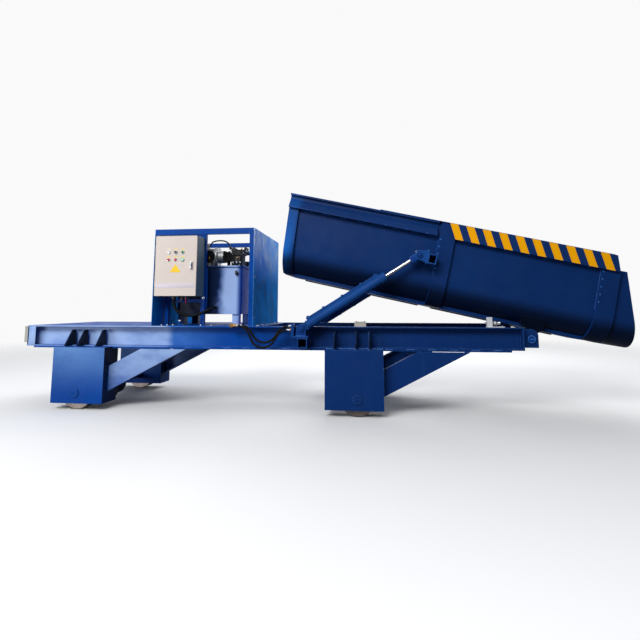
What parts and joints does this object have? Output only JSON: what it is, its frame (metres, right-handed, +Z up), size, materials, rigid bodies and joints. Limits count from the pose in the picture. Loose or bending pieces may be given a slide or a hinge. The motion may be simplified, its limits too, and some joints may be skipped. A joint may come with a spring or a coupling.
{
  "type": "tipping charging car",
  "caption": "Rail-wheeled chassis with a hydraulic power pack, electric cabinet and a long open U-shaped trough that two cylinders tip nose-down about a front pivot.",
  "frame": {"origin": "middle of the footprint at the level the wheels stand on", "axes": "+X towards the trough's nose, +Y towards the far side away from the electric cabinet, +Z up"},
  "size_m": [5.7326, 1.39, 2.0541],
  "materials": {
    "blue_paint": "gloss enamel",
    "hazard_paint": "gloss enamel, striped with the blue",
    "pad_rubber": "matt",
    "sensor_grey": "satin",
    "pin_steel": "turned",
    "wheel_steel": "machined tread",
    "gear_grey": "satin",
    "motor_grey": "satin",
    "black_metal": "satin",
    "cast_aluminium": "as cast",
    "zinc_plate": "zinc plated",
    "brass_fitting": "satin",
    "cabinet_enamel": "satin powder coat",
    "handle_chrome": "polished",
    "black_plastic": "moulded",
    "green_cap": "moulded",
    "red_cap": "moulded",
    "lamp_lens": "moulded lens",
    "hose_rubber": "smooth cover",
    "conduit_plastic": "corrugated",
    "chrome_rod": "hard chrome"
  },
  "bodies": {
    "chassis": {"side_beam_near": "blue_paint", "side_beam_far": "blue_paint", "cross_beams": "blue_paint", "deck_plate": "blue_paint", "wheel_box_rear_near": "blue_paint", "wheel_box_rear_far": "blue_paint", "wheel_box_front_near": "blue_paint", "wheel_box_front_far": "blue_paint", "gusset_plates": "blue_paint", "diagonal_braces": "blue_paint", "rubber_buffers": "pad_rubber", "proximity_sensor": "sensor_grey", "pivot_brackets": "blue_paint", "base_clevises": "blue_paint", "hinge_pins": "blue_paint", "rear_axle_bearings": "blue_paint", "front_axle_pins": "blue_paint", "drive_gearmotor": "gear_grey", "enclosure_panels": "blue_paint", "enclosure_frame": "blue_paint", "oil_tank": "blue_paint", "tank_lid": "blue_paint", "filler_cap": "black_plastic", "pump_motor": "motor_grey", "bell_housing": "cast_aluminium", "gear_pump": "black_metal", "valve_block": "zinc_plate", "solenoid_valves": "black_plastic", "pressure_gauge": "brass_fitting", "cabinet_body": "cabinet_enamel", "hose_outer": "hose_rubber", "hose_inner": "hose_rubber", "cable_conduit": "conduit_plastic", "hose_fittings": "brass_fitting"},
    "trough": {"trough_shell": "blue_paint", "trough_rear_wall": "blue_paint", "trough_nose": "blue_paint", "trough_ribs": "blue_paint", "trough_rails": "blue_paint", "hazard_rails": "hazard_paint", "hinge_arms": "blue_paint", "rod_brackets": "blue_paint", "rod_pins": "blue_paint"},
    "near_barrel": {"cylinder_barrel_near": "blue_paint"},
    "near_rod": {"piston_rod_near": "chrome_rod"},
    "far_barrel": {"cylinder_barrel_far": "blue_paint"},
    "far_rod": {"piston_rod_far": "chrome_rod"},
    "rear_wheelset": {"rear_drive_shaft": "pin_steel", "rear_wheel_near": "wheel_steel", "rear_wheel_far": "wheel_steel"},
    "front_near_wheel": {"front_wheel_near": "wheel_steel"},
    "front_far_wheel": {"front_wheel_far": "wheel_steel"},
    "pump_rotor": {"motor_rotor": "pin_steel"},
    "door": {"cabinet_door": "cabinet_enamel", "pilot_lamps": "lamp_lens"},
    "handle": {"lock_handle": "handle_chrome"},
    "selector": {"selector_knob": "black_plastic"},
    "green_push": {"green_button": "green_cap"},
    "red_push_left": {"red_button_left": "red_cap"},
    "red_push_right": {"red_button_right": "red_cap"}
  },
  "joints": [
    {"name": "trough_tip", "type": "hinge", "parent": "chassis", "child": "trough", "pos_m": [1.9957, 0, 0.677], "axis": [0, 1, 0], "range_deg": [-12.6, 12.2]},
    {"name": "near_barrel_swing", "type": "hinge", "parent": "chassis", "child": "near_barrel", "pos_m": [-0.0443, -0.64, 0.765], "axis": [0, -1, 0], "range_deg": [-4.4, 4.3]},
    {"name": "near_rod_slide", "type": "slide", "parent": "near_barrel", "child": "near_rod", "axis": [0.851, 0, 0.5252], "range_m": [-0.246, 0.24]},
    {"name": "far_barrel_swing", "type": "hinge", "parent": "chassis", "child": "far_barrel", "pos_m": [-0.0443, 0.64, 0.765], "axis": [0, -1, 0], "range_deg": [-4.4, 4.3]},
    {"name": "far_rod_slide", "type": "slide", "parent": "far_barrel", "child": "far_rod", "axis": [0.851, 0, 0.5252], "range_m": [-0.246, 0.24]},
    {"name": "rear_axle_turn", "type": "hinge", "parent": "chassis", "child": "rear_wheelset", "pos_m": [-2.1993, 0, 0.157], "axis": [0, 1, 0], "continuous": true},
    {"name": "front_near_wheel_turn", "type": "hinge", "parent": "chassis", "child": "front_near_wheel", "pos_m": [0.4587, -0.577, 0.157], "axis": [0, 1, 0], "continuous": true},
    {"name": "front_far_wheel_turn", "type": "hinge", "parent": "chassis", "child": "front_far_wheel", "pos_m": [0.4587, 0.577, 0.157], "axis": [0, 1, 0], "continuous": true},
    {"name": "pump_rotor_turn", "type": "hinge", "parent": "chassis", "child": "pump_rotor", "pos_m": [-1.1803, -0.15, 1.487], "axis": [1, 0, 0], "continuous": true},
    {"name": "door_swing", "type": "hinge", "parent": "chassis", "child": "door", "pos_m": [-1.5293, -0.545, 1.364], "axis": [0, 0, -1], "range_deg": [0, 110]},
    {"name": "handle_turn", "type": "hinge", "parent": "door", "child": "handle", "pos_m": [-1.1523, -0.55, 1.392], "axis": [0, 1, 0], "range_deg": [0, 90]},
    {"name": "selector_turn", "type": "hinge", "parent": "door", "child": "selector", "pos_m": [-1.3193, -0.55, 1.496], "axis": [0, 1, 0], "range_deg": [-45, 45]},
    {"name": "green_press", "type": "slide", "parent": "door", "child": "green_push", "axis": [0, 1, 0], "range_m": [0, 0.004], "stiffness_N_per_m": 400},
    {"name": "red_left_press", "type": "slide", "parent": "door", "child": "red_push_left", "axis": [0, 1, 0], "range_m": [0, 0.004], "stiffness_N_per_m": 400},
    {"name": "red_right_press", "type": "slide", "parent": "door", "child": "red_push_right", "axis": [0, 1, 0], "range_m": [0, 0.004], "stiffness_N_per_m": 400}
  ],
  "couplings": [
    {"joint": "near_barrel_swing", "follows": "trough_tip", "ratio": 0.343},
    {"joint": "near_rod_slide", "follows": "trough_tip", "m_per_rad": 1.1117},
    {"joint": "far_barrel_swing", "follows": "trough_tip", "ratio": 0.343},
    {"joint": "far_rod_slide", "follows": "trough_tip", "m_per_rad": 1.1117}
  ]
}
